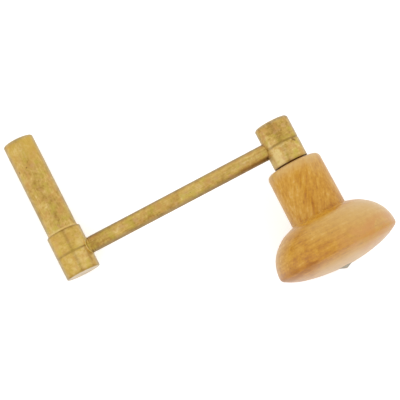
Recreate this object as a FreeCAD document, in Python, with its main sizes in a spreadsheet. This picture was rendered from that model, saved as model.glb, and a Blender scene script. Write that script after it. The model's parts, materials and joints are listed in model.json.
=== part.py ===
import FreeCAD, Part
import math
import os
import Sketcher

# Clock key of the crank pattern: a brass bar with a square socket, a brass arm screwed
# into it, and a turned wooden knob that spins on a steel spindle.
# Millimetres. The key lies as it does on a table: +Z is up, +Y points out of the
# socket's mouth, X runs from the socket to the knob. The table touches the socket hub
# and the knob's rim, so the whole crank is rolled a little about Y.
# The origin is at the bottom centre of the key's box.

document = FreeCAD.newDocument("clock_key")
sheet = document.addObject("Spreadsheet::Sheet", "Sizes")
sheet.Label = "Sizes"

# Driving dimensions: name, millimetres (degrees for the drill's point), meaning
SIZES = [
    ("throw", 76.0, "socket axis to spindle axis, three inches"),
    ("hub_diameter", 11.65, "both hubs, cut from one size of bar"),
    ("socket_hub_height", 15.1, "along the socket's axis"),
    ("handle_hub_height", 14.6, "along the spindle's axis"),
    ("socket_arm_rise", 7.1, "socket hub's knob-side face to the arm's axis"),
    ("handle_arm_rise", 6.95, "handle hub's knob-side face to the arm's axis"),
    ("socket_line_rise", 7.32, "socket hub's knob-side face to its turned line"),
    ("handle_line_rise", 6.75, "handle hub's knob-side face to its turned line"),
    ("line_width", 0.6, "turned line round a hub"),
    ("line_depth", 0.16, "turned line round a hub"),
    ("hub_chamfer", 0.25, "sharp edges of the hubs, broken"),
    ("hub_end_chamfer", 0.5, "outer end of the handle hub"),
    ("tube_diameter", 10.3, "socket bar"),
    ("tube_reach", 33.5, "hub's outer face to the socket's mouth"),
    ("tube_chamfer", 0.3, "outer edges of the socket bar"),
    ("spigot_diameter", 9.0, "socket bar, turned down inside its hub"),
    ("spigot_length", 11.9, "socket bar inside its hub"),
    ("spigot_relief", 0.1, "spigot's end to the bottom of its seat"),
    ("solder_gap", 0.03, "spigot to its seat, on the radius"),
    ("square_flats", 5.25, "socket square across its flats"),
    ("square_depth", 26.0, "broached length"),
    ("drill_diameter", 5.4, "hole that the broach follows"),
    ("drill_depth", 30.0, "to the start of the drill's point"),
    ("drill_angle", 118.0, "drill's point"),
    ("mouth_bevel", 7.2, "bevel in the mouth, across its outer edge"),
    ("bevel_angle", 90.0, "bevel in the mouth, side to side"),
    ("arm_diameter", 5.5, "round arm"),
    ("arm_past", 1.5, "screwed end of the arm beyond each axis"),
    ("arm_chamfer", 0.5, "lead of each screwed end"),
    ("screw_gap", 0.02, "screwed end to its hole, on the radius"),
    ("spindle_diameter", 4.0, "shank that the knob turns on"),
    ("spindle_relief", 0.1, "spindle's inner end to the arm"),
    ("spindle_chamfer", 0.4, "lead of the spindle's screwed end"),
    ("rivet_diameter", 2.4, "turned-down end that is hammered over"),
    ("head_diameter", 5.0, "hammered head at the end washer"),
    ("head_tip_diameter", 0.6, "hammered head at its blunt tip"),
    ("head_height", 0.9, "hammered head beyond the end washer"),
    ("thrust_diameter", 8.5, "washer between hub and knob"),
    ("thrust_thickness", 0.4, "washer between hub and knob"),
    ("washer_bore_gap", 0.05, "thrust washer to spindle, on the radius"),
    ("end_diameter", 7.0, "washer under the hammered head"),
    ("end_thickness", 0.8, "washer under the hammered head"),
    ("recess_gap", 0.3, "end washer to the wood, on the radius"),
    ("recess_depth", 1.08, "knob's lowest point to the recess floor"),
    ("knob_play", 0.1, "end float at each washer"),
    ("bore_gap", 0.06, "knob's bore to the spindle, on the radius"),
    ("knob_height", 36.68, "knob's top face to its lowest point"),
    ("neck_top_diameter", 18.5, "knob's neck at the hub"),
    ("neck_foot_diameter", 18.76, "knob's neck at the crown"),
    ("neck_round", 1.8, "top edge of the neck"),
    ("crown_diameter", 41.15, "knob's rim"),
    ("dome_radius", 25.55, "broad arc of the crown's upper side"),
    ("shoulder_radius", 11.9, "arc from the dome to the rim"),
    ("heel_radius", 1.67, "small arc just past the rim"),
    ("flank_radius", 22.2, "arc from the heel to the belly"),
    ("belly_radius", 55.0, "flat arc across the knob's end"),
    ("belly_height", 5.84, "rim to the knob's lowest point"),
]
for row, (name, size, meaning) in enumerate(SIZES, start=1):
    sheet.set(f"A{row}", name)
    sheet.set(f"B{row}", str(size))
    sheet.set(f"C{row}", meaning)
    sheet.setAlias(f"B{row}", name)
document.recompute()

# Expressions that several pieces share. Along the lathe axes, distances count from the
# arm's axis: towards the mouth for the socket, towards the tip for the knob.
HUB_RADIUS = "Sizes.hub_diameter / 2"
CROWN_RADIUS = "Sizes.crown_diameter / 2"
HUB_OUTER_FACE = "(Sizes.socket_hub_height - Sizes.socket_arm_rise)"
MOUTH = f"({HUB_OUTER_FACE} + Sizes.tube_reach)"
SPINDLE_END = "(Sizes.arm_diameter / 2 + Sizes.spindle_relief)"
KNOB_TOP = "(Sizes.handle_arm_rise + Sizes.thrust_thickness + Sizes.knob_play)"
RECESS_FLOOR = f"({KNOB_TOP} + Sizes.knob_height - Sizes.recess_depth)"
END_WASHER_FACE = f"({RECESS_FLOOR} + Sizes.knob_play)"
HEAD_SEAT = f"({END_WASHER_FACE} + Sizes.end_thickness)"
TIP = f"({HEAD_SEAT} + Sizes.head_height)"
ARM_HOLE = "Sizes.arm_diameter + 2 * Sizes.screw_gap"

# How the crank lies: its roll about Y, and the places of its two axes and of the arm
ROLL = f"asin(({CROWN_RADIUS} - {HUB_RADIUS}) / Sizes.throw)"
SPAN = f"(Sizes.throw * cos({ROLL}))"
SOCKET_X = f"(({HUB_RADIUS} - {SPAN} - {CROWN_RADIUS}) / 2)"
HANDLE_X = f"({SOCKET_X} + {SPAN})"
ARM_Y = f"(({TIP} - {MOUTH}) / 2)"


def value(expression):
    """The number that an expression on the sheet comes to."""
    result = sheet.evalExpression(expression)
    return float(getattr(result, "Value", result))


def new_body(label):
    """An empty body whose label names its file."""
    body = document.addObject("PartDesign::Body", label)
    body.Label = label
    return body


def sketch_on(body, name, role, offset="0", turn="0"):
    """A sketch on one of the body's origin planes, moved along its normal and turned."""
    plane = next(part for part in body.Origin.OriginFeatures if part.Role == role)
    sketch = body.newObject("Sketcher::SketchObject", name)
    sketch.AttachmentSupport = (plane, [""])
    sketch.MapMode = "FlatFace"
    shift = f"create(<<vector>>; 0; 0; {offset})"
    twist = f"create(<<rotation>>; {turn}; 0; 0)"
    sketch.setExpression("AttachmentOffset", f"create(<<placement>>; {shift}; {twist})")
    document.recompute()
    return sketch


def bind(sketch, kind, references, expression):
    """Add a constraint that has a size, and tie the size to the sheet."""
    constraint = Sketcher.Constraint(kind, *references, value(expression))
    index = sketch.addConstraint(constraint)
    name = f"size_{index}"
    sketch.renameConstraint(index, name)
    sketch.setExpression(f"Constraints.{name}", expression)


def place(sketch, geometry, end, across, along):
    """Tie one point of a line or arc to its place across and along the sketch."""
    point = (geometry, end)
    if across == "0":
        sketch.addConstraint(Sketcher.Constraint("PointOnObject", *point, -2))
    else:
        bind(sketch, "DistanceX", (-1, 1, *point), across)
    if along == "0":
        sketch.addConstraint(Sketcher.Constraint("PointOnObject", *point, -1))
    else:
        bind(sketch, "DistanceY", (-1, 1, *point), along)


def spot(across, along):
    """A place in a sketch as a vector."""
    return FreeCAD.Vector(value(across), value(along), 0)


def add_line(sketch, start, finish):
    """A line between two places, each a pair of expressions."""
    return sketch.addGeometry(Part.LineSegment(spot(*start), spot(*finish)), False)


def join_round(sketch, chain):
    """The end of each line or arc meets the start of the next, and the last the first."""
    for first, second in zip(chain, chain[1:] + chain[:1]):
        sketch.addConstraint(Sketcher.Constraint("Coincident", first, 2, second, 1))


def add_outline(sketch, corners):
    """Straight lines from corner to corner and back to the first."""
    lines = [add_line(sketch, *pair) for pair in zip(corners, corners[1:] + corners[:1])]
    join_round(sketch, lines)
    for line, corner in zip(lines, corners):
        place(sketch, line, 1, *corner)


def add_circle(sketch, diameter, along="0"):
    """A circle on the sketch's upright axis."""
    circle = Part.Circle(spot("0", along), FreeCAD.Vector(0, 0, 1), value(diameter) / 2)
    index = sketch.addGeometry(circle, False)
    bind(sketch, "Diameter", (index,), diameter)
    place(sketch, index, 3, "0", along)


def finish_feature(feature, sizes):
    """Tie a feature's sizes to the sheet and build it."""
    for key, expression in sizes.items():
        feature.setExpression(key, expression)
    document.recompute()


def check_cut(body, feature, volume_before):
    """A cut that points away from the solid removes nothing and shows no error."""
    if body.Shape.Volume > volume_before - 1e-6:
        raise RuntimeError(f"{feature.Name} cuts nothing out of {body.Label}")


def pad(body, name, sketch, length):
    """Raise a sketch into a solid."""
    feature = body.newObject("PartDesign::Pad", name)
    feature.Profile = sketch
    finish_feature(feature, {"Length": length})


def turn_whole(body, kind, name, sketch):
    """Revolution or Groove: a sketch carried once round the lathe axis, the body's Z."""
    feature = body.newObject(f"PartDesign::{kind}", name)
    feature.Profile = sketch
    feature.ReferenceAxis = (sketch, ["V_Axis"])
    feature.Angle = 360.0
    document.recompute()
    return feature


def pocket(body, name, sketch, length, reverse=False):
    """Sink a sketch into the solid."""
    volume_before = body.Shape.Volume
    feature = body.newObject("PartDesign::Pocket", name)
    feature.Profile = sketch
    feature.Reversed = reverse
    finish_feature(feature, {"Length": length})
    check_cut(body, feature, volume_before)


def drill(body, name, sketch, choices, sizes):
    """Drill at a sketch's circle, with a bevel, a step or a drill's point."""
    volume_before = body.Shape.Volume
    feature = body.newObject("PartDesign::Hole", name)
    feature.Profile = sketch
    document.recompute()
    for key, choice in choices.items():
        setattr(feature, key, choice)
    finish_feature(feature, sizes)
    check_cut(body, feature, volume_before)


def round_edges(body, height, diameter):
    """Names of the body's circular edges at one height, of one diameter."""
    names = []
    for index, edge in enumerate(body.Shape.Edges, start=1):
        if edge.Degenerated or not isinstance(edge.Curve, Part.Circle):
            continue
        height_error = abs(edge.Curve.Center.z - value(height))
        diameter_error = abs(2 * edge.Curve.Radius - value(diameter))
        if max(height_error, diameter_error) < 1e-4:
            names.append(f"Edge{index}")
    if not names:
        raise RuntimeError(f"{body.Label} has no edge at {height} across {diameter}")
    return names


def ease(body, kind, name, height, diameter, amount):
    """Chamfer or Fillet on the circular edge at one height on the lathe axis."""
    edges = round_edges(body, height, diameter)
    base = body.Tip
    feature = body.newObject(f"PartDesign::{kind}", name)
    feature.Base = (base, edges)
    finish_feature(feature, {"Size" if kind == "Chamfer" else "Radius": amount})


def set_down(body, across, along, up, pitch, roll):
    """Put a body in its place in the key: turned about X by roll, then about Y by pitch."""
    position = f"create(<<vector>>; {across}; {along}; {up})"
    rotation = f"create(<<rotation>>; 0; {pitch}; {roll})"
    body.setExpression("Placement", f"create(<<placement>>; {position}; {rotation})")


def set_on_socket(body, along):
    """On the socket's axis, lathe axis towards the mouth, the arm's side towards local +X."""
    set_down(body, SOCKET_X, f"({ARM_Y} + {along})", HUB_RADIUS, f"-{ROLL}", "-90")


def set_on_spindle(body, along):
    """On the spindle's axis, lathe axis towards the tip."""
    set_down(body, HANDLE_X, f"({ARM_Y} - {along})", CROWN_RADIUS, f"-{ROLL}", "90")


def make_winding_tube():
    """Socket bar on a turned-down spigot: drilled, broached square, bevelled at the mouth."""
    body = new_body("winding_tube")
    length = "(Sizes.spigot_length + Sizes.tube_reach)"
    inside = sketch_on(body, "spigot_section", "XY_Plane")
    add_circle(inside, "Sizes.spigot_diameter")
    pad(body, "spigot", inside, "Sizes.spigot_length")
    section = sketch_on(body, "bar_section", "XY_Plane", "Sizes.spigot_length")
    add_circle(section, "Sizes.tube_diameter")
    pad(body, "bar", section, "Sizes.tube_reach")

    centre = sketch_on(body, "drill_centre", "XY_Plane", length)
    add_circle(centre, "Sizes.drill_diameter")
    choices = {
        "ThreadType": "None",
        "DepthType": "Dimension",
        "DrillPoint": "Angled",
        "HoleCutType": "Countersink",
    }
    drill(body, "drilled_socket", centre, choices, {
        "Diameter": "Sizes.drill_diameter",
        "Depth": "Sizes.drill_depth",
        "DrillPointAngle": "Sizes.drill_angle",
        "HoleCutDiameter": "Sizes.mouth_bevel",
        "HoleCutCountersinkAngle": "Sizes.bevel_angle",
    })

    # The square is turned back by the crank's roll, so its flats lie level on the table.
    broach = sketch_on(body, "broach_section", "XY_Plane", length, f"-{ROLL}")
    half = "Sizes.square_flats / 2"
    add_outline(broach, [
        (half, half),
        (f"-{half}", half),
        (f"-{half}", f"-{half}"),
        (half, f"-{half}"),
    ])
    pocket(body, "broached_square", broach, "Sizes.square_depth")

    side = sketch_on(body, "arm_hole_section", "YZ_Plane", "-Sizes.arm_past")
    add_circle(side, ARM_HOLE, f"(Sizes.spigot_length - {HUB_OUTER_FACE})")
    pocket(body, "arm_hole", side, "Sizes.arm_past + Sizes.spigot_diameter", reverse=True)

    across = "Sizes.tube_diameter"
    ease(body, "Chamfer", "foot_edge", "Sizes.spigot_length", across, "Sizes.tube_chamfer")
    ease(body, "Chamfer", "mouth_edge", length, across, "Sizes.tube_chamfer")
    set_on_socket(body, f"({HUB_OUTER_FACE} - Sizes.spigot_length)")
    return body


def make_hub(label, height, line_rise, outer_chamfer):
    """A hub: bar with a line turned round it near its middle, and its edges eased."""
    body = new_body(label)
    section = sketch_on(body, "bar_section", "XY_Plane")
    add_circle(section, "Sizes.hub_diameter")
    pad(body, "bar", section, height)

    line = sketch_on(body, "line_section", "XZ_Plane")
    add_outline(line, [
        (f"{HUB_RADIUS} - Sizes.line_depth", line_rise),
        (f"{HUB_RADIUS} + Sizes.line_depth", f"{line_rise} + Sizes.line_width"),
        (f"{HUB_RADIUS} + Sizes.line_depth", f"{line_rise} - Sizes.line_width"),
    ])
    volume_before = body.Shape.Volume
    groove = turn_whole(body, "Groove", "turned_line", line)
    check_cut(body, groove, volume_before)

    ease(body, "Chamfer", "inner_edge", "0", "Sizes.hub_diameter", "Sizes.hub_chamfer")
    ease(body, "Chamfer", "outer_edge", height, "Sizes.hub_diameter", outer_chamfer)
    return body


def make_socket_hub():
    """Hub that the socket bar is soldered into, with the arm's tapped hole in one side."""
    height = "Sizes.socket_hub_height"
    body = make_hub("socket_hub", height, "Sizes.socket_line_rise", "Sizes.hub_chamfer")
    seat = sketch_on(body, "seat_section", "XY_Plane", height)
    add_circle(seat, "Sizes.spigot_diameter + 2 * Sizes.solder_gap")
    pocket(body, "spigot_seat", seat, "Sizes.spigot_length + Sizes.spigot_relief")

    side = sketch_on(body, "arm_hole_section", "YZ_Plane")
    add_circle(side, ARM_HOLE, "Sizes.socket_arm_rise")
    pocket(body, "arm_hole", side, "Sizes.hub_diameter", reverse=True)
    set_on_socket(body, "-Sizes.socket_arm_rise")
    return body


def make_handle_hub():
    """Solid hub, tapped in one side for the arm and in its inner face for the spindle."""
    height = "Sizes.handle_hub_height"
    body = make_hub("handle_hub", height, "Sizes.handle_line_rise", "Sizes.hub_end_chamfer")
    side = sketch_on(body, "arm_hole_section", "YZ_Plane", "Sizes.arm_past")
    add_circle(side, ARM_HOLE, "Sizes.handle_arm_rise")
    pocket(body, "arm_hole", side, "Sizes.arm_past + Sizes.hub_diameter")

    inner = sketch_on(body, "spindle_hole_section", "XY_Plane")
    add_circle(inner, "Sizes.spindle_diameter + 2 * Sizes.screw_gap")
    pocket(body, "spindle_hole", inner, "Sizes.handle_arm_rise", reverse=True)
    inner_face = f"({ARM_Y} - Sizes.handle_arm_rise)"
    set_down(body, HANDLE_X, inner_face, CROWN_RADIUS, f"-{ROLL}", "-90")
    return body


def make_crank_arm():
    """Round arm, screwed a little past the axis of each hub."""
    body = new_body("crank_arm")
    length = "(Sizes.throw + 2 * Sizes.arm_past)"
    section = sketch_on(body, "arm_section", "XY_Plane")
    add_circle(section, "Sizes.arm_diameter")
    pad(body, "arm", section, length)
    ease(body, "Chamfer", "socket_lead", "0", "Sizes.arm_diameter", "Sizes.arm_chamfer")
    ease(body, "Chamfer", "handle_lead", length, "Sizes.arm_diameter", "Sizes.arm_chamfer")
    start_x = f"({SOCKET_X} - Sizes.arm_past * cos({ROLL}))"
    start_z = f"({HUB_RADIUS} - Sizes.arm_past * sin({ROLL}))"
    set_down(body, start_x, ARM_Y, start_z, f"(90 deg - {ROLL})", "0")
    return body


def make_spindle():
    """Steel spindle: screwed end, plain shank, shoulder, and a low pointed head."""
    body = new_body("spindle")
    shoulder = f"({END_WASHER_FACE} - {SPINDLE_END})"
    seat = f"({HEAD_SEAT} - {SPINDLE_END})"
    tip = f"({TIP} - {SPINDLE_END})"
    section = sketch_on(body, "turned_section", "XZ_Plane")
    add_outline(section, [
        ("0", "0"),
        ("Sizes.spindle_diameter / 2", "0"),
        ("Sizes.spindle_diameter / 2", shoulder),
        ("Sizes.rivet_diameter / 2", shoulder),
        ("Sizes.rivet_diameter / 2", seat),
        ("Sizes.head_diameter / 2", seat),
        ("Sizes.head_tip_diameter / 2", tip),
        ("0", tip),
    ])
    turn_whole(body, "Revolution", "turned_spindle", section)

    ease(body, "Chamfer", "screw_lead", "0", "Sizes.spindle_diameter", "Sizes.spindle_chamfer")
    set_on_spindle(body, SPINDLE_END)
    return body


def make_washer(label, diameter, bore, thickness, face):
    """A plain washer on the spindle, its nearer face at a distance from the arm's axis."""
    body = new_body(label)
    section = sketch_on(body, "ring_section", "XY_Plane")
    add_circle(section, diameter)
    add_circle(section, bore)
    pad(body, "ring", section, thickness)
    set_on_spindle(body, face)
    return body


def make_thrust_washer():
    """Keeps the wooden neck off the brass hub."""
    bore = "Sizes.spindle_diameter + 2 * Sizes.washer_bore_gap"
    thickness = "Sizes.thrust_thickness"
    hub_face = "Sizes.handle_arm_rise"
    return make_washer("thrust_washer", "Sizes.thrust_diameter", bore, thickness, hub_face)


def make_end_washer():
    """Let into the knob's underside; the spindle's end is hammered over it."""
    bore = "Sizes.rivet_diameter + 2 * Sizes.screw_gap"
    thickness = "Sizes.end_thickness"
    return make_washer("end_washer", "Sizes.end_diameter", bore, thickness, END_WASHER_FACE)


def add_arc(sketch, centre, radius, start, finish):
    """An arc from one angle to another, counted from the sketch's level axis."""
    circle = Part.Circle(FreeCAD.Vector(*centre, 0), FreeCAD.Vector(0, 0, 1), radius)
    return sketch.addGeometry(Part.ArcOfCircle(circle, start, finish), False)


def crossing(centre, reach, other_centre, other_reach):
    """Of the two points at given distances from two centres, the one nearer the axis."""
    step_x = other_centre[0] - centre[0]
    step_y = other_centre[1] - centre[1]
    apart = math.hypot(step_x, step_y)
    along = (apart ** 2 + reach ** 2 - other_reach ** 2) / (2 * apart)
    aside = math.sqrt(reach ** 2 - along ** 2)
    foot_x = centre[0] + along * step_x / apart
    foot_y = centre[1] + along * step_y / apart
    return foot_x + aside * step_y / apart, foot_y - aside * step_x / apart


def add_crown_arcs(section, neck_foot, rim, lowest):
    """The crown's outline as five arcs that run smoothly into each other.

    Dome and shoulder lead out to the rim, then heel, flank and belly round its end. Dome
    and belly have their centres on the lathe axis, shoulder and heel level with the rim.
    """
    half_width = value(rim[0])
    rim_height = value(rim[1])
    dome_radius = value("Sizes.dome_radius")
    shoulder_radius = value("Sizes.shoulder_radius")
    heel_radius = value("Sizes.heel_radius")
    flank_radius = value("Sizes.flank_radius")
    belly_radius = value("Sizes.belly_radius")

    shoulder_out = half_width - shoulder_radius
    meeting = math.acos(shoulder_out / (dome_radius - shoulder_radius))
    dome_centre = rim_height + (dome_radius - shoulder_radius) * math.sin(meeting)
    crease = math.acos(value(neck_foot) / dome_radius)
    dome = add_arc(section, (0, dome_centre), dome_radius, -crease, -meeting)
    shoulder = add_arc(section, (shoulder_out, rim_height), shoulder_radius, -meeting, 0)

    heel_centre = (half_width - heel_radius, rim_height)
    belly_centre = (0, value(lowest[1]) - belly_radius)
    heel_reach = flank_radius - heel_radius
    belly_reach = belly_radius - flank_radius
    flank_centre = crossing(heel_centre, heel_reach, belly_centre, belly_reach)
    heel_turn = math.atan2(rim_height - flank_centre[1], heel_centre[0] - flank_centre[0])
    flank_turn = math.atan2(flank_centre[1] - belly_centre[1], flank_centre[0])
    heel = add_arc(section, heel_centre, heel_radius, 0, heel_turn)
    flank = add_arc(section, flank_centre, flank_radius, heel_turn, flank_turn)
    belly = add_arc(section, belly_centre, belly_radius, flank_turn, math.pi / 2)

    section.addConstraint(Sketcher.Constraint("Coincident", shoulder, 2, heel, 1))
    for first, second in ((dome, shoulder), (heel, flank), (flank, belly)):
        section.addConstraint(Sketcher.Constraint("Tangent", first, 2, second, 1))
    for broad in (dome, belly):
        section.addConstraint(Sketcher.Constraint("PointOnObject", broad, 3, -2))
    for small in (shoulder, heel):
        bind(section, "DistanceY", (-1, 1, small, 3), rim[1])
    names = ("dome", "shoulder", "heel", "flank", "belly")
    for arc, name in zip((dome, shoulder, heel, flank, belly), names):
        bind(section, "Radius", (arc,), f"Sizes.{name}_radius")
    place(section, shoulder, 2, *rim)
    place(section, belly, 2, *lowest)
    return dome, belly


def make_knob():
    """Turned knob: a neck, slightly fuller at its foot, on a crown of five arcs."""
    body = new_body("knob")
    section = sketch_on(body, "turned_section", "XZ_Plane")
    neck_top = ("Sizes.neck_top_diameter / 2", "0")
    neck_foot = "Sizes.neck_foot_diameter / 2"
    rim = (CROWN_RADIUS, "(Sizes.knob_height - Sizes.belly_height)")
    lowest = ("0", "Sizes.knob_height")
    dome, belly = add_crown_arcs(section, neck_foot, rim, lowest)
    top = add_line(section, ("0", "0"), neck_top)
    side = add_line(section, neck_top, (neck_foot, "Sizes.knob_height / 2"))
    axis = add_line(section, lowest, ("0", "0"))
    for first, second in ((axis, top), (top, side), (side, dome), (belly, axis)):
        section.addConstraint(Sketcher.Constraint("Coincident", first, 2, second, 1))
    place(section, top, 1, "0", "0")
    place(section, side, 1, *neck_top)
    bind(section, "DistanceX", (-1, 1, side, 2), neck_foot)
    turn_whole(body, "Revolution", "turned_knob", section)

    ease(body, "Fillet", "neck_edge", "0", "Sizes.neck_top_diameter", "Sizes.neck_round")
    bore = "Sizes.spindle_diameter + 2 * Sizes.bore_gap"
    centre = sketch_on(body, "bore_centre", "XY_Plane", "Sizes.knob_height")
    add_circle(centre, bore)
    choices = {
        "ThreadType": "None",
        "DepthType": "ThroughAll",
        "HoleCutType": "Counterbore",
    }
    drill(body, "bore_and_recess", centre, choices, {
        "Diameter": bore,
        "HoleCutDiameter": "Sizes.end_diameter + 2 * Sizes.recess_gap",
        "HoleCutDepth": "Sizes.recess_depth",
    })
    set_on_spindle(body, KNOB_TOP)
    return body


bodies = [
    make_winding_tube(),
    make_socket_hub(),
    make_crank_arm(),
    make_handle_hub(),
    make_spindle(),
    make_thrust_washer(),
    make_end_washer(),
    make_knob(),
]
document.recompute()

for item in document.Objects:
    if "Invalid" in item.State or "Error" in item.State:
        raise RuntimeError(f"{item.Label} failed: {item.State}")
    if item.TypeId == "Sketcher::SketchObject" and not item.FullyConstrained:
        raise RuntimeError(f"a sketch is loose: {item.Name}")
for body in bodies:
    if body.Shape.isNull() or not body.Shape.isValid() or len(body.Shape.Solids) != 1:
        raise RuntimeError(f"{body.Label} is not one sound solid")

os.makedirs("parts", exist_ok=True)
for body in bodies:
    body.Shape.exportStep(f"parts/{body.Label}.step")
    print(body.Label, round(body.Shape.Volume, 1), "mm3", body.Shape.BoundBox)
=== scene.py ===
import json
import math

import bpy
import numpy as np
from mathutils import Matrix, Vector


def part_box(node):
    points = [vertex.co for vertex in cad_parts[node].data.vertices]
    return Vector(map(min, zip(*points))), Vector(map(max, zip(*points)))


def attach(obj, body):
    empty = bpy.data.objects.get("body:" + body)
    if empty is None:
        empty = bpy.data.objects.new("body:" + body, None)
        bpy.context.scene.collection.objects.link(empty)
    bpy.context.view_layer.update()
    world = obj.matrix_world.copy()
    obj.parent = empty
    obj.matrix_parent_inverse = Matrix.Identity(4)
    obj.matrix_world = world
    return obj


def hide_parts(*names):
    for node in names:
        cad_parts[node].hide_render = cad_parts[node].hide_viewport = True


# A brass crank key for clocks with a turned wooden knob, lying on a white table.
# Lengths are in metres, and in millimetres inside the finishes. The frame is the packed
# model's: +Z up, +Y out of the socket's mouth, origin at the bottom centre of the key's box.

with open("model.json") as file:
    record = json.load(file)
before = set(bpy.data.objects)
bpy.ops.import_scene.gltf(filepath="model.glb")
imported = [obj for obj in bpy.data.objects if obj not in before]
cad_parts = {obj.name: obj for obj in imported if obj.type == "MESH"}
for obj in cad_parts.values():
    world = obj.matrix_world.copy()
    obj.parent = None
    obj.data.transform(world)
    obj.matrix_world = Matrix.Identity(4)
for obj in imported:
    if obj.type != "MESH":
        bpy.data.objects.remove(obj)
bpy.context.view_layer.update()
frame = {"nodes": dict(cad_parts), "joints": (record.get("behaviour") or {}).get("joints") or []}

MM = 0.001

# Sockets of the Mix node, whose names repeat
MIX_FACTOR, MIX_FIRST, MIX_SECOND, MIX_RESULT = 0, 6, 7, 2


# The key's own lines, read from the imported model

def middle(node):
    """The middle of a node's box."""
    low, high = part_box(node)
    return (low + high) / 2


def half_size(node, letter):
    """Half of a node's extent along one axis of the frame."""
    low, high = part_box(node)
    return (getattr(high, letter) - getattr(low, letter)) / 2


socket_axis = middle("winding_tube")
spindle_axis = Vector(frame["joints"][0]["pos_m"])
arm_y = middle("crank_arm").y
throw_line = Vector((spindle_axis.x - socket_axis.x, 0, spindle_axis.z - socket_axis.z))
throw = throw_line.length
crank_roll = math.atan2(throw_line.z, throw_line.x)
along_arm = throw_line.normalized()
towards_mouth = Vector((0, 1, 0))
off_table = along_arm.cross(towards_mouth)
bar_radius = half_size("winding_tube", "z")
hub_radius = half_size("socket_hub", "z")
arm_radius = half_size("crank_arm", "y")

# Where the arm's axis meets the socket's and the spindle's; places on the finishes count
# from there, and crank_turn takes the crank's roll out of them
socket_centre = (socket_axis.x, arm_y, socket_axis.z)
handle_centre = (spindle_axis.x, arm_y, spindle_axis.z)
crank_turn = (0, crank_roll, 0)


# Shader tools

class Reading:
    """A shader output that takes part in sums, products and powers as a number does."""

    def __init__(self, tree, socket):
        self.tree = tree
        self.socket = socket

    def combine(self, operation, first, second):
        """One Math node on two values, either of which may be a plain number."""
        node = self.tree.nodes.new("ShaderNodeMath")
        node.operation = operation
        for slot, value in zip(node.inputs, (first, second)):
            plug(self.tree, slot, value)
        return Reading(self.tree, node.outputs[0])

    def __add__(self, other):
        return self.combine("ADD", self, other)

    def __sub__(self, other):
        return self.combine("SUBTRACT", self, other)

    def __mul__(self, other):
        return self.combine("MULTIPLY", self, other)

    def __pow__(self, other):
        return self.combine("POWER", self, other)

    def __rsub__(self, other):
        return self.combine("SUBTRACT", other, self)

    __radd__ = __add__
    __rmul__ = __mul__

    def __abs__(self):
        return self.combine("ABSOLUTE", self, 0)


def plug(tree, slot, value):
    """Set a socket to a number or colour, or link it to a reading."""
    if isinstance(value, Reading):
        tree.links.new(value.socket, slot)
    else:
        slot.default_value = value


class Finish:
    """A node-based material or world under construction."""

    def __init__(self, owner):
        owner.use_nodes = True
        self.tree = owner.node_tree
        self.tree.nodes.clear()
        self.owner = owner

    def node(self, kind, settings=None, inputs=None, output=0):
        """Add a node: its settings first, then values or links for its sockets."""
        node = self.tree.nodes.new("ShaderNode" + kind)
        for key, setting in (settings or {}).items():
            if key == "stops":
                self.set_stops(node.color_ramp, setting)
            else:
                setattr(node, key, setting)
        for key, value in (inputs or {}).items():
            plug(self.tree, node.inputs[key], value)
        return Reading(self.tree, node.outputs[output])

    def set_stops(self, ramp, stops):
        """Give a colour ramp its stops: pairs of position and grey level or colour."""
        while len(ramp.elements) < len(stops):
            ramp.elements.new(1.0)
        for element, (position, level) in zip(ramp.elements, stops):
            element.position = position
            element.color = (level, level, level, 1) if isinstance(level, float) else (*level, 1)

    def step(self, value, low, high):
        """0 below low, 1 above high, and a smooth rise between."""
        inputs = {"Value": value, "From Min": low, "From Max": high}
        return self.node("MapRange", {"interpolation_type": "SMOOTHSTEP"}, inputs)

    def near(self, value, middle, inner, outer):
        """1 within inner of a middle value, 0 beyond outer, and a smooth fall between."""
        return 1 - self.step(abs(value - middle), inner, outer)

    def larger(self, first, second):
        """The larger of two values."""
        return self.node("Math", {"operation": "MAXIMUM"}, {0: first, 1: second})

    def part(self, vector, letter):
        """One of a vector's three parts."""
        return self.node("SeparateXYZ", inputs={0: vector}, output=letter)

    def off_axis(self, where):
        """Distance from the place's Y axis."""
        return (self.part(where, "X") ** 2 + self.part(where, "Z") ** 2) ** 0.5

    def away_from(self, where, spot):
        """Distance from one spot."""
        settings = {"operation": "DISTANCE"}
        return self.node("VectorMath", settings, {0: where, 1: spot}, output="Value")

    def ramp(self, value, stops):
        """A colour ramp over a value."""
        return self.node("ValToRGB", {"stops": stops}, {0: value})

    def place(self, centre, turn=(0, 0, 0), stretch=(1, 1, 1)):
        """Object coordinates about a centre, turned, then stretched, in millimetres."""
        where = self.node("TexCoord", output="Object")
        where = self.node("VectorMath", {"operation": "SUBTRACT"}, {0: where, 1: centre})
        inputs = {"Vector": where, "Rotation": turn}
        where = self.node("VectorRotate", {"rotation_type": "EULER_XYZ"}, inputs)
        scale = [factor / MM for factor in stretch]
        return self.node("VectorMath", {"operation": "MULTIPLY"}, {0: where, 1: scale})

    def noise(self, where, size, detail=2.0, roughness=0.5, seed=0.0):
        """Soft noise from 0 to 1 with patches of a size in millimetres."""
        inputs = {
            "Vector": where, "W": seed, "Scale": 1 / size,
            "Detail": detail, "Roughness": roughness}
        return self.node("TexNoise", {"noise_dimensions": "4D"}, inputs)

    def blend(self, factor, first, second):
        """Mix two colours."""
        inputs = {MIX_FACTOR: factor, MIX_FIRST: colour(first), MIX_SECOND: colour(second)}
        return self.node("Mix", {"data_type": "RGBA"}, inputs, output=MIX_RESULT)

    def bump(self, strength, distance, height):
        """The normal of a surface that a height roughens."""
        inputs = {"Strength": strength, "Distance": distance, "Height": height}
        return self.node("Bump", inputs=inputs)

    def close(self, surface):
        """Link a shader to the output."""
        kind = "OutputWorld" if isinstance(self.owner, bpy.types.World) else "OutputMaterial"
        output = self.tree.nodes.new("ShaderNode" + kind)
        self.tree.links.new(surface.socket, output.inputs["Surface"])
        return self.owner


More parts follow.
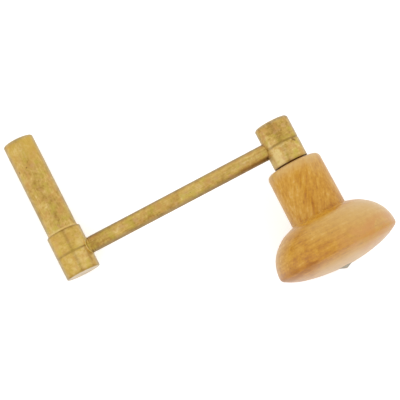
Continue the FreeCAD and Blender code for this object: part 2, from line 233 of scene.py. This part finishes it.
def colour(value):
    """A colour of three numbers gets its fourth; a reading stays as it is."""
    return value if isinstance(value, Reading) else (*value, 1)


# Finishes

BRASS_TONES = [
    (0.20, (0.40, 0.23, 0.05)),
    (0.40, (0.54, 0.345, 0.085)),
    (0.54, (0.62, 0.415, 0.115)),
    (0.68, (0.69, 0.48, 0.15)),
    (0.85, (0.78, 0.59, 0.25)),
]
ORANGE_BRASS = (0.60, 0.34, 0.10)
GREEN_BRASS = (0.56, 0.44, 0.075)
ROSY_BRASS = (0.63, 0.385, 0.175)
GOLD_BRASS = (0.64, 0.42, 0.075)
PALE_BRASS = (0.92, 0.68, 0.22)
GREY_BRASS = (0.50, 0.41, 0.25)
OLIVE_BRASS = (0.31, 0.225, 0.11)
RUSTY_BRASS = (0.65, 0.22, 0.01)
GRIME = (0.20, 0.105, 0.025)


def brass(name, centre, across, radius, turn=(0, 0, 0), grain=(1, 1, 1), gloss=0.34,
          contrast=1.0, relief=0.5, wear=0.2, rim=1.3, painted_edge_tone=GREY_BRASS, painted_edge_weight=0.6,
          shade=None, gold=None, painted_highlight=None, grime_and_shade=None, faces=None, dents=(), ends=()):
    """Handled brass: ochre and straw mottling, orange, green and rosy patches, dirt, painted
    light.

    Along the two sides farthest across, the upper half is painted darker and paler about the
    given edge tone, as painted shade and reflection, in a band of rim mm, and so are the faces
    at the ends, places in mm along the piece. contrast scales the mottling, relief the bumps,
    and wear the spread of the roughness about gloss.
    Functions of the place: shade gives how much paler it is, gold how golden, the highlight
    function how bright a painted highlight is, the dirt function how dirty it is and how dark a
    hub's face by the knob is with painted shade, and faces how much it was faced flat. Each dent
    is a place and a reach in mm.
    """
    finish = Finish(bpy.data.materials.new(name))
    where = finish.place(centre, turn)
    lined = finish.place(centre, turn, grain)
    broad = finish.noise(where, 5.0, 2.0, seed=1.0)
    patches = finish.noise(where, 1.9, 2.0, seed=2.0)
    mottle = finish.noise(where, 0.8, 3.0, 0.6, seed=3.0)
    lines = finish.noise(lined, 0.35, 2.0, 0.6, seed=4.0)
    pits = finish.noise(where, 0.9, 1.0, seed=5.0)
    hue = finish.noise(where, 2.4, 3.0, 0.6, seed=6.0)
    warmth = finish.noise(where, 1.7, 3.0, 0.6, seed=7.0)

    depth = (mottle - 0.5) * 0.7 + (patches - 0.5) * 0.65
    depth = depth + (broad - 0.5) * 0.4 + (lines - 0.5) * 0.5
    depth = contrast * depth + 0.54
    if shade:
        depth = depth + shade(finish, where)
    tone = finish.ramp(depth, BRASS_TONES)
    tone = finish.blend(finish.step(hue, 0.50, 0.68) * 0.85, tone, ORANGE_BRASS)
    tone = finish.blend(finish.step(1 - hue, 0.50, 0.68) * 0.65, tone, GREEN_BRASS)
    tone = finish.blend(finish.step(warmth, 0.50, 0.72) * 0.6, tone, ROSY_BRASS)
    if gold:
        tone = finish.blend(gold(finish, where), tone, GOLD_BRASS)
    # A painted highlight: paler where the highlight function says
    if painted_highlight:
        tone = finish.blend(painted_highlight(finish, where) * 0.9, tone, PALE_BRASS)
    hollows = finish.step(pits, 0.73, 0.80) * 0.4
    for spot, reach in dents:
        away = finish.away_from(where, spot)
        hollows = hollows + 0.7 * finish.near(away, 0, 0.3 * reach, reach)
    tone = finish.blend(hollows, tone, GRIME)
    # Dirt, and painted shade on a hub's face by the knob
    if grime_and_shade:
        tone = finish.blend(grime_and_shade(finish, where) * (0.6 + 0.8 * mottle), tone, GRIME)
    # Painted shade and reflection on the upper half of the sides and on the end faces
    side = finish.step(abs(finish.part(where, across)), radius - rim, radius - 0.05)
    side = side * finish.step(finish.part(where, "Z"), -0.5 * radius, 0.3 * radius)
    for place in ends:
        painted_face = finish.near(finish.part(where, "Y"), place, 0.3, 1.2)
        side = finish.larger(side, painted_face)
    darker = [0.2 * part for part in painted_edge_tone]
    paler = [1.8 * part for part in painted_edge_tone]
    painted_rim = finish.blend(0.5 * mottle + 0.5 * patches, darker, paler)
    tone = finish.blend(side * (painted_edge_weight - 0.4 + 0.8 * mottle), tone, painted_rim)
    height = mottle + 0.5 * lines - hollows * 3
    inputs = {
        "Base Color": tone, "Metallic": 1.0,
        "Roughness": gloss + wear * (mottle - 0.5) + wear / 2 * pits,
        "Normal": finish.bump(relief, 0.01 * MM, height),
        "Specular Tint": (0.9, 0.9, 0.9, 1), "Sheen Weight": 0.12, "Sheen Roughness": 0.3}
    if faces:
        inputs["Coat Weight"] = faces(finish, where)
    return finish.close(finish.node("BsdfPrincipled", inputs=inputs))


def hub_grime_and_shade(line, ends, depth, gap_shade=0.0):
    """Grime in a hub's turned line, depth strong, darker end edges, and painted shade by the knob.

    The line and the two ends are places in mm from the arm's axis. The last value is how
    much painted shade darkens the end face on the knob's side, in the gap by the knob.
    """
    low_end, high_end = ends
    middle_y = (low_end + high_end) / 2
    half = (high_end - low_end) / 2
    edge_radius = hub_radius / MM

    def spread(finish, where):
        along = finish.part(where, "Y")
        groove = finish.near(along, line, 0.1, 0.65)
        out = finish.off_axis(where)
        near_ends = finish.step(abs(along - middle_y), half - 1.0, half - 0.1)
        rim = finish.step(out, edge_radius - 0.5, edge_radius - 0.15)
        hidden = 1 - finish.step(along, low_end + 0.02, low_end + 0.1)
        hidden = hidden * (1 - finish.step(out, edge_radius - 0.9, edge_radius - 0.5))
        # Darker end edges, and painted shade on the end face in the gap by the knob
        edges = finish.larger(near_ends * rim * 0.45, hidden * gap_shade)
        return finish.larger(groove * depth, edges)

    return spread


def end_face(place):
    """A hub's flat face at a place along its axis, in mm from the arm's axis."""
    return lambda finish, where: 0.5 * finish.near(finish.part(where, "Y"), place, 0.02, 0.06)


def even(amount):
    """The same shade all over."""
    return lambda finish, where: amount


def bar_shade(finish, where):
    """The bar is paler towards its mouth and darker along the top of its middle, a painted
    reflection.
    """
    along = finish.part(where, "Y")
    across = finish.part(where, "X")
    # Painted dark reflection along the top, and a narrow one next to the socket hub
    top = finish.near(across, -0.3, 0.8, 2.8) * (1 - finish.step(along, 24, 36))
    trace = finish.near(across, 0, 0.1, 0.6) * (1 - finish.step(along, 13, 16))
    return 0.02 * finish.step(along, 30, 38) - 0.09 * top - 0.08 * trace


def bar_gold(finish, where):
    """The bar is most golden at its mouth, above all on the side towards the arm."""
    along = finish.part(where, "Y")
    beside = finish.step(finish.part(where, "X"), -1.0, 2.5)
    return finish.step(along, 28, 39) * (0.30 + 0.30 * beside)


def socket_hub_shade(finish, where):
    """The hub is paler on the knob's side of its line and darker by the arm on the other."""
    along = finish.part(where, "Y")
    across = finish.part(where, "X")
    beyond = finish.step(along, -0.3, 0.7)
    pale = (1 - finish.step(along, -3.5, 0.7)) * finish.near(across, 0.5, 2.0, 4.4)
    edge = (1 - beyond) * (1 - finish.step(across, -5.0, -3.2))
    # Painted light: a pale band on the arm's side of the hub, and a paler patch at the arm's root
    bright = finish.near(across, 4.5, 0.5, 1.5) * (0.30 - 0.12 * beyond)
    root = finish.near(along, 1.2, 0.8, 2.4) * finish.near(across, 3.4, 0.8, 2.4) * 0.26
    dull = finish.near(along, 6.8, 1.0, 3.0) * finish.near(across, 3.2, 0.7, 1.9) * 0.16
    # A painted highlight along the edge of the turned line
    ridge = finish.near(along, 0.8, 0.3, 0.9) * finish.step(across, -2.0, 0.0) * 0.10
    cheek = finish.near(along, -2.4, 1.0, 2.2) * finish.near(across, 1.7, 0.6, 1.6) * 0.10
    beside = 0.03 * beyond * finish.step(across, -1.0, 2.0)
    flank = 0.08 * (1 - beyond) * finish.near(across, -2.8, 0.8, 2.0)
    return 0.16 * pale - 0.16 * edge - beside + bright + root + flank - dull + ridge + cheek


def socket_hub_painted_highlight(finish, where):
    """A painted highlight in the hub's corner round the arm's solder."""
    beside = finish.near(finish.part(where, "Y"), -0.8, 2.2, 3.8)
    return beside * finish.near(finish.part(where, "X"), 5.4, 1.0, 1.7)


def handle_hub_shade(finish, where):
    """The hub is pale on the knob's side of its line, above all left, and browner beyond it."""
    along = finish.part(where, "Y")
    across = finish.part(where, "X")
    beyond = finish.step(along, -0.5, 0.3)
    left = 1 - finish.step(across, -1.5, 0.5)
    brown = beyond * finish.step(across, -3.5, -1.0)
    # A painted highlight along the edge of the turned line
    ridge = finish.near(along, 0.9, 0.45, 1.3) * (1 - finish.step(across, -2.0, 1.5))
    side = finish.near(across, -4.2, 0.4, 1.4)
    shade = (1 - beyond) * (0.22 * left - 0.01) - beyond * 0.04 - 0.16 * brown
    patch = finish.near(along, -4.8, 1.2, 3.0) * finish.near(across, -3.0, 0.8, 2.2)
    beside = finish.near(along, -1.3, 0.7, 1.8) * finish.step(across, -0.5, 1.5)
    return shade + 0.30 * ridge + 0.12 * side + 0.30 * patch - 0.09 * beside


def arm_shade(finish, where):
    """The arm is darker on the knob's side; near the handle hub a painted reflection of the knob
    darkens it most.
    """
    along = finish.part(where, "X")
    across = finish.part(where, "Y")
    side = 1 - finish.step(across, -2.2, 0.6)
    # Painted reflection of the knob near the handle hub
    low = (1 - finish.step(across, -2.4, -1.1)) * finish.step(along, 45.0, 68.0)
    root = 1 - finish.step(along, 9.0, 17.0)
    worn = finish.near(along, 24.5, 3, 9) * (1 - finish.step(across, -0.5, 1.5))
    # A painted highlight along the top, and a painted dark reflection beside it near the handle
    # hub
    top = finish.near(across, -0.2, 0.15, 0.8)
    trace = finish.near(across, 0.5, 0.05, 0.45) * finish.step(along, 52, 58)
    # Painted shade along the upper edge, strongest towards the socket hub
    upper = finish.step(across, 1.2, 2.5) * (3.0 - 2.0 * finish.step(along, 22, 36))
    dark = 0.08 * trace + 0.10 * upper + 0.11 * side + 0.18 * low + 0.19 * root + 0.13 * worn
    return 0.11 * top - 0.01 - dark


WOOD_TONES = [
    (0.10, (0.36, 0.115, 0.004)),
    (0.30, (0.48, 0.185, 0.006)),
    (0.50, (0.59, 0.267, 0.008)),
    (0.70, (0.675, 0.355, 0.034)),
    (0.95, (0.76, 0.48, 0.17)),
]
STRAW_WOOD = (0.66, 0.41, 0.12)
ROSY_WOOD = (0.63, 0.29, 0.075)
ORANGE_WOOD = (0.60, 0.265, 0.005)
PALE_WOOD = (0.67, 0.43, 0.17)
WHITE_WOOD = (0.70, 0.46, 0.18)
DARK_WOOD = (0.36, 0.17, 0.03)
GAP_SHADE_BROWN = (0.20, 0.07, 0.003)
DARK_STEEL = (0.34, 0.31, 0.23)
PALE_STEEL = (0.52, 0.47, 0.38)
PAPER = (0.85, 0.85, 0.85)
WHITE = (1, 1, 1)
CARD_BROWN = (0.22, 0.12, 0.03)


def lacquered_beech(name):
    """Worn lacquered beech: slanted grain on the neck, turning marks and flecks on the crown.

    Places count in mm from the arm's axis towards the tip (deep) and from the spindle's
    axis (out). The crown is straw near the neck, rosy on the side away from the arm and paler
    there with a painted sheen, and deep orange by its rim on the other side. Its limb towards
    the arm and its underside past the rim are paler with painted reflection.
    """
    finish = Finish(bpy.data.materials.new(name))
    where = finish.place(handle_centre, crank_turn)
    deep = 0 - finish.part(where, "Y")
    out = finish.off_axis(where)
    across = finish.part(where, "X")
    crown = finish.step(deep, 26.9, 28.4)

    grain_slant, grain_length = 0.40, 0.18
    along = finish.place(handle_centre, (0, crank_roll, grain_slant), (1, grain_length, 1))
    streaks = finish.noise(along, 0.75, 3.0, 0.65, seed=1.0)
    broad = finish.noise(along, 2.2, 2.0, seed=2.0)
    wander = across + finish.part(where, "Z")
    ring_place = finish.node("CombineXYZ", inputs={0: out, 1: deep, 2: 0.12 * wander})
    rings = finish.noise(ring_place, 0.7, 2.0, 0.6, seed=3.0)
    speck_place = finish.place(handle_centre, crank_turn, (0.7, 1, 0.7))
    specks = finish.noise(speck_place, 0.7, 3.0, 0.65, seed=4.0)
    cloud = finish.noise(where, 4.0, 3.0, 0.6, seed=5.0)
    blush = finish.noise(where, 2.4, 2.0, 0.6, seed=6.0)
    flecks = finish.step(finish.noise(where, 0.6, 1.0, seed=7.0), 0.66, 0.76)

    slanted = (streaks - 0.5) * 1.25 + (specks - 0.5) * 0.5
    turned = (rings - 0.5) * 0.8 + (specks - 0.5) * 0.8
    texture = (1 - crown) * slanted + crown * turned
    right = finish.step(across, -4.0, 14.0)
    left = 1 - finish.step(across, -6.0, 2.0)
    far_left = 1 - finish.step(across, -11.0, -3.0)
    straw = crown * (1 - finish.step(deep, 31.0, 37.0)) * finish.step(across, -10.0, -1.0)
    band = crown * finish.near(deep, 40.0, 0.3, 3.0) * (0.25 + 0.75 * far_left) * (0.5 + specks)
    # Painted shade in the crease between neck and crown
    crease = finish.step(deep, 22.5, 25.0) * (1 - crown) * finish.near(across, 1.5, 4.0, 9.0)
    # Painted sheen on the crown's limb towards the arm
    limb = crown * (1 - finish.step(across, -16.0, -11.0)) * (1 - finish.step(deep, 33.0, 37.0))
    level = 0.50 + texture + (broad - 0.5) * 0.45 + (cloud - 0.5) * 0.35
    level = level + (1 - crown) * (0.02 + 0.10 * left + 0.03 * right)
    # Straw tone, and a painted sheen making the crown paler on the side away from the arm
    level = level + straw * 0.07 + crown * right * 0.14
    heart = finish.near(deep, 20.5, 1.5, 5.0) * finish.near(across, 0.4, 0.8, 2.2) * (1 - crown)
    level = level - heart * 0.11 - band * 0.32 - crease * (0.02 + 0.05 * right) + limb * 0.14
    patch = crown * finish.near(across, 5.5, 3.0, 6.5) * finish.near(deep, 35.5, 3.0, 5.5)
    level = level - 0.07 * patch
    tone = finish.ramp(level, WOOD_TONES)
    tone = finish.blend(straw * (0.2 + 0.5 * cloud), tone, STRAW_WOOD)
    # Painted sheen on the crown's side away from the arm
    tone = finish.blend(crown * right * 0.45, tone, PALE_WOOD)
    rosy = crown * finish.step(blush, 0.36, 0.60) * finish.step(deep, 33.0, 37.0)
    tone = finish.blend(rosy * (0.2 + 0.7 * right), tone, ROSY_WOOD)
    ridge = crown * finish.near(deep, 39.7, 0.6, 2.2) * finish.step(abs(across), 7.0, 11.0)
    tone = finish.blend(ridge * 0.20, tone, ORANGE_WOOD)
    tone = finish.blend(flecks * 0.35, tone, DARK_WOOD)
    # Painted reflection: the underside past the rim paler
    tip = crown * finish.step(deep, 39.5, 42.5) * finish.near(across, -1.0, 5.5, 10.0)
    tone = finish.blend(tip * 0.5, tone, WHITE_WOOD)
    worn = finish.near(deep, 11.0, 1.5, 4.5) * finish.near(across, 6.0, 1.0, 2.4) * 0.35
    top = 1 - finish.step(deep, 7.5, 12.0) + worn
    tone = finish.blend(top * (0.3 + 0.7 * specks), tone, WHITE_WOOD)
    # Painted shade in the gap: the knob's face by the hub darkened
    under = (1 - finish.step(deep, 7.5, 8.0)) * (0.9 - 0.55 * finish.step(out, 6.0, 7.2))
    tone = finish.blend(under, tone, GAP_SHADE_BROWN)
    matt = crown * finish.near(deep, 39.7, 0.5, 1.8) * finish.step(abs(across), 5.0, 10.0)
    return finish.close(finish.node("BsdfPrincipled", inputs={
        "Base Color": tone, "Roughness": 0.5, "Specular IOR Level": 0.0,
        "Coat Weight": 1.0 - 0.35 * matt, "Coat Roughness": 0.28, "Coat IOR": 1.5,
        "Normal": finish.bump(0.35, 0.04 * MM, texture),
        "Sheen Weight": 0.15, "Sheen Roughness": 0.3}))


def hammered_steel(name):
    """Darkened steel, paler where the hammer struck, with dirt in the seams round the head."""
    finish = Finish(bpy.data.materials.new(name))
    head_edge, washer_edge = 2.52, 3.5
    where = finish.place(handle_centre)
    out = finish.off_axis(where)
    spots = finish.noise(where, 0.8, 2.0)
    tone = finish.blend(finish.step(spots, 0.45, 0.7) * 0.7, DARK_STEEL, PALE_STEEL)
    seams = finish.near(out, head_edge, 0.04, 0.25)
    seams = seams + finish.step(out, washer_edge - 0.3, washer_edge)
    tone = finish.blend(seams * 0.75, tone, GRIME)
    return finish.close(finish.node("BsdfPrincipled", inputs={
        "Base Color": tone, "Metallic": 1.0, "Roughness": 0.3 + 0.15 * spots,
        "Normal": finish.bump(0.3, 0.06 * MM, spots)}))


def white_table(name):
    """White paper with a faint glow for the camera and for reflections, so it ends in white."""
    finish = Finish(bpy.data.materials.new(name))
    seen = finish.node("LightPath", output="Is Camera Ray")
    mirrored = finish.node("LightPath", output="Is Glossy Ray")
    mirrored = mirrored + finish.node("LightPath", output="Is Transmission Ray")
    strength = seen * 0.5 + mirrored * 0.25
    paper = finish.node("BsdfDiffuse", inputs={"Color": colour(PAPER)})
    glow = finish.node("Emission", inputs={"Color": colour(WHITE), "Strength": strength})
    return finish.close(finish.node("AddShader", inputs={0: paper, 1: glow}))


# Pieces

SHARP_ANGLE = math.radians(40)
UP = np.array((0, 0, 1))
RIGHT = np.array((1, 0, 0))


def full_turn(count):
    """Angles all the way round, without the last one, which would be the first again."""
    return np.linspace(0, 2 * np.pi, count, endpoint=False)


def round_arm(turn):
    """Unit vectors square to the arm: at 0 towards the mouth, a quarter turn on off the table."""
    towards = np.cos(turn)[..., None] * np.array(towards_mouth)
    return towards + np.sin(turn)[..., None] * np.array(off_table)


def ring_surface(name, points, material, closed=False):
    """A closed skin from a grid of points: rows along the piece, columns round it.

    The columns join into rings. A closed section joins its last ring to its first, and
    otherwise the middle of the first and last ring closes the ends.
    """
    rows, columns, _ = points.shape
    vertices = points.reshape(-1, 3)
    bands = rows if closed else rows - 1
    row, column = np.meshgrid(np.arange(bands), np.arange(columns), indexing="ij")
    after = (column + 1) % columns
    here, there = row * columns, (row + 1) % rows * columns
    quads = np.stack([here + column, here + after, there + after, there + column], -1)
    faces = quads.reshape(-1, 4).tolist()
    if not closed:
        vertices = np.concatenate([vertices, [points[0].mean(0), points[-1].mean(0)]])
        first = np.arange(columns)
        second = (first + 1) % columns
        last = (rows - 1) * columns
        near = np.stack([second, first, np.full(columns, rows * columns)], -1)
        far = np.stack([last + first, last + second, np.full(columns, rows * columns + 1)], -1)
        faces += near.tolist() + far.tolist()
    mesh = bpy.data.meshes.new(name)
    mesh.from_pydata(vertices.tolist(), [], faces)
    mesh.polygons.foreach_set("use_smooth", np.ones(len(mesh.polygons), bool))
    mesh.set_sharp_from_angle(angle=SHARP_ANGLE)
    mesh.materials.append(material)
    piece = bpy.data.objects.new(name, mesh)
    bpy.context.scene.collection.objects.link(piece)
    return piece


def rise(value, low, high):
    """0 below low, 1 above high, and a smooth rise between."""
    share = np.clip((value - low) / (high - low), 0, 1)
    return share * share * (3 - 2 * share)


def threaded_arm(material):
    """The arm: a cylinder whose ends carry a screw thread.

    Radius is the arm's radius less the thread's depth times a ridge wave of the distance
    along the arm plus one pitch per turn. The wave fades out where the thread ends, and
    over the last bit of either end, lead long, the radius falls in a straight line.
    """
    pitch, depth = 0.8 * MM, 0.12 * MM
    past, lead = 1.5 * MM, 0.5 * MM
    socket_run = 7.5 * MM
    handle_run = throw - 5.4 * MM
    steep, crest = 1.25, 0.12
    steps_per_pitch, plain_rows, columns = 14, 60, 96

    start, stop = -past, throw + past
    fine = pitch / steps_per_pitch
    distance = np.concatenate([
        np.arange(start, socket_run + pitch, fine),
        np.linspace(socket_run + pitch, handle_run - pitch, plain_rows)[1:-1],
        np.arange(handle_run - pitch, stop, fine),
        [stop],
    ])
    s, turn = np.meshgrid(distance, full_turn(columns), indexing="ij")
    wave = np.abs(((s / pitch + turn / (2 * np.pi)) % 1) * 2 - 1)
    cut = np.clip(wave * steep - crest, 0, 1)
    run = 1 - rise(s, socket_run - pitch, socket_run) + rise(s, handle_run, handle_run + pitch)
    r = arm_radius - depth * cut * run
    r = r - lead * np.clip(1 - (s - start) / lead, 0, 1)
    r = r - lead * np.clip(1 - (stop - s) / lead, 0, 1)
    points = np.array(socket_centre) + s[..., None] * np.array(along_arm)
    points = points + r[..., None] * round_arm(turn)
    arm = ring_surface("threaded_arm", points, material)
    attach(arm, "crank")
    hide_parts("crank_arm")


def solder_fillet(material):
    """Solder round the socket bar's foot: the bar's circle carried down a hollow quarter curve.

    From the bar outwards, height above the hub's face is climb times one minus the sine
    of the quarter turn, and distance from the bar is reach times one minus its cosine.
    """
    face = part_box("socket_hub")[1].y
    reach, climb = 0.42 * MM, 0.7 * MM
    inside, skin, foot = bar_radius - 0.3 * MM, bar_radius - 0.02 * MM, -0.1 * MM
    columns = 128

    quarter = np.linspace(0, np.pi / 2, 9)
    out = bar_radius + reach * (1 - np.cos(quarter))
    height = climb * (1 - np.sin(quarter))
    out = np.concatenate([[inside, inside, skin], out, [out[-1], inside]])
    height = np.concatenate([[foot, climb, climb], height, [foot, foot]])
    turn = full_turn(columns)
    around = np.cos(turn)[:, None] * RIGHT + np.sin(turn)[:, None] * UP
    base = np.array((socket_axis.x, face, socket_axis.z))
    points = base + out[:, None, None] * around + height[:, None, None] * np.array(towards_mouth)
    ring = ring_surface("solder_fillet", points, material, closed=True)
    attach(ring, "crank")


def arm_solder(material):
    """The bead of solder where the arm goes into the socket hub.

    Its middle line lies on both cylinders: at a turn round the arm, the distance along the
    arm is the root of the hub's radius squared less the square of how far the arm's skin
    is off the table's plane there. The bead is a small circle carried along that line.
    """
    bead = 0.24 * MM
    rows, columns = 96, 12
    turn, round_bead = np.meshgrid(full_turn(rows), full_turn(columns), indexing="ij")
    s = np.sqrt(hub_radius ** 2 - (arm_radius * np.sin(turn)) ** 2) - bead * np.sin(round_bead)
    r = arm_radius + bead * np.cos(round_bead)
    points = np.array(socket_centre) + s[..., None] * np.array(along_arm)
    points = points + r[..., None] * round_arm(turn)
    ring = ring_surface("arm_solder", points, material, closed=True)
    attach(ring, "crank")


def arc(radius, middle_out, middle_deep, first, last, count):
    """Points of an arc: middle plus radius times the cosine outwards and the sine deeper."""
    angle = np.linspace(first, last, count)
    return np.stack([middle_out + radius * np.cos(angle), middle_deep + radius * np.sin(angle)], 1)


def turned_knob(material):
    """The knob: one closed profile turned about the spindle's axis.

    From the top face a quarter circle leads on to the neck. The neck ends on the dome, and
    shoulder, heel, flank and belly follow, each an arc that touches the next one, down
    to the recess and the bore. Close to the neck the dome lies deeper by dip times one
    minus a smooth rise of the distance from the axis. Sizes are in mm, and deep counts from
    the top face.
    """
    height, neck_top, neck_foot, neck_round = 36.68, 9.25, 9.38, 1.8
    half, dome, shoulder, heel, flank, belly = 20.575, 25.55, 11.9, 1.67, 22.2, 55.0
    columns = 192
    rim = height - 5.84
    bore, recess, recess_floor = 2.06, 3.8, height - 1.08
    dip, dip_end = 0.58, 14.6

    shoulder_out = half - shoulder
    meeting = math.acos(shoulder_out / (dome - shoulder))
    dome_deep = rim + (dome - shoulder) * math.sin(meeting)
    crease = math.acos(neck_foot / dome)
    upper = arc(dome, 0, dome_deep, -crease, -meeting, 40)
    upper[:, 1] += dip * (1 - rise(upper[:, 0], neck_foot, dip_end))

    belly_deep = height - belly
    heel_out = half - heel
    reach = math.hypot(heel_out, rim - belly_deep)
    first, second = flank - heel, belly - flank
    toward = math.atan2(rim - belly_deep, heel_out)
    swing = math.acos((second ** 2 + reach ** 2 - first ** 2) / (2 * second * reach))
    flank_turn = toward + swing
    flank_out = second * math.cos(flank_turn)
    flank_deep = belly_deep + second * math.sin(flank_turn)
    heel_turn = math.atan2(rim - flank_deep, heel_out - flank_out)
    recess_turn = math.acos(recess / belly)

    profile = np.concatenate([
        np.linspace((bore, 0), (neck_top - neck_round, 0), 5)[:-1],
        arc(neck_round, neck_top - neck_round, neck_round, -np.pi / 2, 0, 12),
        np.linspace((neck_top, neck_round), (neck_foot, upper[0, 1]), 24)[1:-1],
        upper,
        arc(shoulder, shoulder_out, rim, -meeting, 0, 28)[1:],
        arc(heel, heel_out, rim, 0, heel_turn, 12)[1:],
        arc(flank, flank_out, flank_deep, heel_turn, flank_turn, 12)[1:],
        arc(belly, 0, belly_deep, flank_turn, recess_turn, 16)[1:],
        [(recess, recess_floor), (bore, recess_floor)],
        np.linspace((bore, recess_floor), (bore, 0), 14)[1:-1],
    ]) * MM
    turn = full_turn(columns)
    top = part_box("knob")[1].y
    points = np.stack(np.broadcast_arrays(
        spindle_axis.x + profile[:, :1] * np.cos(turn), top - profile[:, 1:],
        spindle_axis.z + profile[:, :1] * np.sin(turn)), -1)
    knob = ring_surface("turned_knob", points, material, closed=True)
    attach(knob, "handle")
    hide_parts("knob")


# Ends of the hubs and the washer's face, in mm from the arm's axis along the hubs
SOCKET_HUB_ENDS = (-7.1, 8.0)
HANDLE_HUB_ENDS = (-6.95, 7.65)
WASHER_FACE = -7.3
MOUTH = 41.5

# The solder and the washer get a radius larger than their own, which keeps them out of
# all or part of the painted shade and reflection along the sides
bar_brass = brass(
    "bar_brass", socket_centre, "X", bar_radius / MM, grain=(1, 0.1, 1), gloss=0.40,
    contrast=1.25, shade=bar_shade, gold=bar_gold,
    dents=[((-4.15, 31.2, 3.05), 0.5), ((-1.4, 31.4, 4.95), 0.4)], ends=(MOUTH,))
solder = brass(
    "solder", socket_centre, "X", bar_radius / MM + 1, gloss=0.35, shade=even(0.16))
# The arm's bead is solder painted paler, painted light in the shaded corner by the arm
painted_lit_solder = brass(
    "painted_lit_solder", socket_centre, "X", bar_radius / MM + 9, shade=even(0.35))
socket_hub_brass = brass(
    "socket_hub_brass", socket_centre, "X", hub_radius / MM, grain=(0.3, 1.2, 0.3),
    gloss=0.29, contrast=1.3, relief=0.25, wear=0.08, shade=socket_hub_shade,
    gold=even(0.3), painted_highlight=socket_hub_painted_highlight, faces=end_face(SOCKET_HUB_ENDS[0]),
    grime_and_shade=hub_grime_and_shade(line=0.30, ends=SOCKET_HUB_ENDS, depth=0.42))
handle_hub_brass = brass(
    "handle_hub_brass", handle_centre, "X", hub_radius / MM, crank_turn,
    grain=(0.3, 1.2, 0.3), contrast=1.4, relief=0.25, wear=0.08, rim=1.0, painted_edge_weight=0.5,
    shade=handle_hub_shade,
    grime_and_shade=hub_grime_and_shade(line=-0.15, ends=HANDLE_HUB_ENDS, depth=0.50, gap_shade=0.8),
    dents=[((3.9, -0.75, 4.33), 0.8), ((4.3, -1.25, 3.93), 0.6)],
    ends=HANDLE_HUB_ENDS[1:])
arm_brass = brass(
    "arm_brass", socket_centre, "Y", arm_radius / MM, crank_turn, grain=(0.06, 1, 1),
    gloss=0.36, contrast=1.15, rim=1.4, painted_edge_tone=OLIVE_BRASS, painted_edge_weight=0.75,
    shade=arm_shade)
# The washer is darkened all over as painted shade of the gap between hub and knob, with a rusty
# tone at its edges
washer_brass = brass(
    "washer_brass", handle_centre, "X", 5.0, gloss=0.5, painted_edge_tone=RUSTY_BRASS,
    painted_edge_weight=1.0, shade=even(-0.4), ends=(WASHER_FACE,))
beech = lacquered_beech("lacquered_beech")
steel = hammered_steel("hammered_steel")

dressed = {
    "winding_tube": bar_brass, "socket_hub": socket_hub_brass,
    "handle_hub": handle_hub_brass, "crank_arm": arm_brass, "thrust_washer": washer_brass,
    "spindle": steel, "end_washer": steel, "knob": beech,
}
for node, material in dressed.items():
    mesh = frame["nodes"][node].data
    mesh.materials.clear()
    mesh.materials.append(material)

threaded_arm(arm_brass)
solder_fillet(solder)
arm_solder(painted_lit_solder)
turned_knob(beech)


# Table, light and camera

def flat_sheet(name, corners, material):
    """A flat sheet with four corners."""
    mesh = bpy.data.meshes.new(name)
    mesh.from_pydata(corners, [], [(0, 1, 2, 3)])
    mesh.materials.append(material)
    sheet = bpy.data.objects.new(name, mesh)
    bpy.context.scene.collection.objects.link(sheet)
    return sheet


def lay_table():
    """A flat white sheet, far wider than the view."""
    reach = 3.0
    corners = [(-reach, -reach, 0), (reach, -reach, 0), (reach, reach, 0), (-reach, reach, 0)]
    table = flat_sheet("table", corners, white_table("white_table"))


def aim_matrix(eye, forward, roll=0.0):
    """Looking along forward from eye, turned by roll about the line of sight."""
    level = forward.cross(Vector((0, 0, 1))).normalized()
    upright = level.cross(forward)
    right = level * math.cos(roll) + upright * math.sin(roll)
    up = upright * math.cos(roll) - level * math.sin(roll)
    turn = Matrix((right, up, -forward)).transposed().to_4x4()
    return Matrix.Translation(eye) @ turn


# Fitted to the outline of the key in the photograph
CAMERA_AIM = Vector((-1.79, -2.685, 20.04)) * MM
CAMERA_DISTANCE = 423.35 * MM
CAMERA_ELEVATION = math.radians(80.12)
CAMERA_HEADING = math.radians(48.86)
CAMERA_ROLL = math.radians(21.89)
CAMERA_LENS = 119.7
SENSOR_WIDTH = 36


def look_from(heading, elevation):
    """The line of sight of someone who looks down by elevation, heading clockwise of +Y."""
    level = math.cos(elevation)
    return Vector((math.sin(heading) * level, math.cos(heading) * level, -math.sin(elevation)))


def set_camera():
    """The photograph's view: from high above, a little from the side of the socket hub."""
    forward = look_from(CAMERA_HEADING, CAMERA_ELEVATION)
    data = bpy.data.cameras.new("camera")
    data.lens = CAMERA_LENS
    data.sensor_width = SENSOR_WIDTH
    camera = bpy.data.objects.new("camera", data)
    camera.matrix_world = aim_matrix(CAMERA_AIM - forward * CAMERA_DISTANCE, forward, CAMERA_ROLL)
    bpy.context.scene.collection.objects.link(camera)
    bpy.context.scene.camera = camera


def hang_card():
    """The dark back of the photographer's camera, which only reflections show."""
    height, half, near_end, far_end = 0.43, 0.035, -0.08, 0.13
    forward = look_from(CAMERA_HEADING, CAMERA_ELEVATION)
    middle_x = CAMERA_AIM.x - forward.x * CAMERA_DISTANCE
    left, right = middle_x - half, middle_x + half
    corners = [
        (left, near_end, height), (left, far_end, height),
        (right, far_end, height), (right, near_end, height)]
    finish = Finish(bpy.data.materials.new("camera_back"))
    glow = finish.node("Emission", inputs={"Color": colour(CARD_BROWN)})
    card = flat_sheet("card", corners, finish.close(glow))
    card.visible_camera = card.visible_diffuse = card.visible_shadow = False


def light_room():
    """A plain white room."""
    world = bpy.data.worlds.new("white_room")
    bpy.context.scene.world = world
    finish = Finish(world)
    finish.close(finish.node("Background", inputs={"Color": colour(WHITE), "Strength": 1.0}))


lay_table()
hang_card()
light_room()
set_camera()
bpy.context.scene.view_settings.view_transform = "Standard"
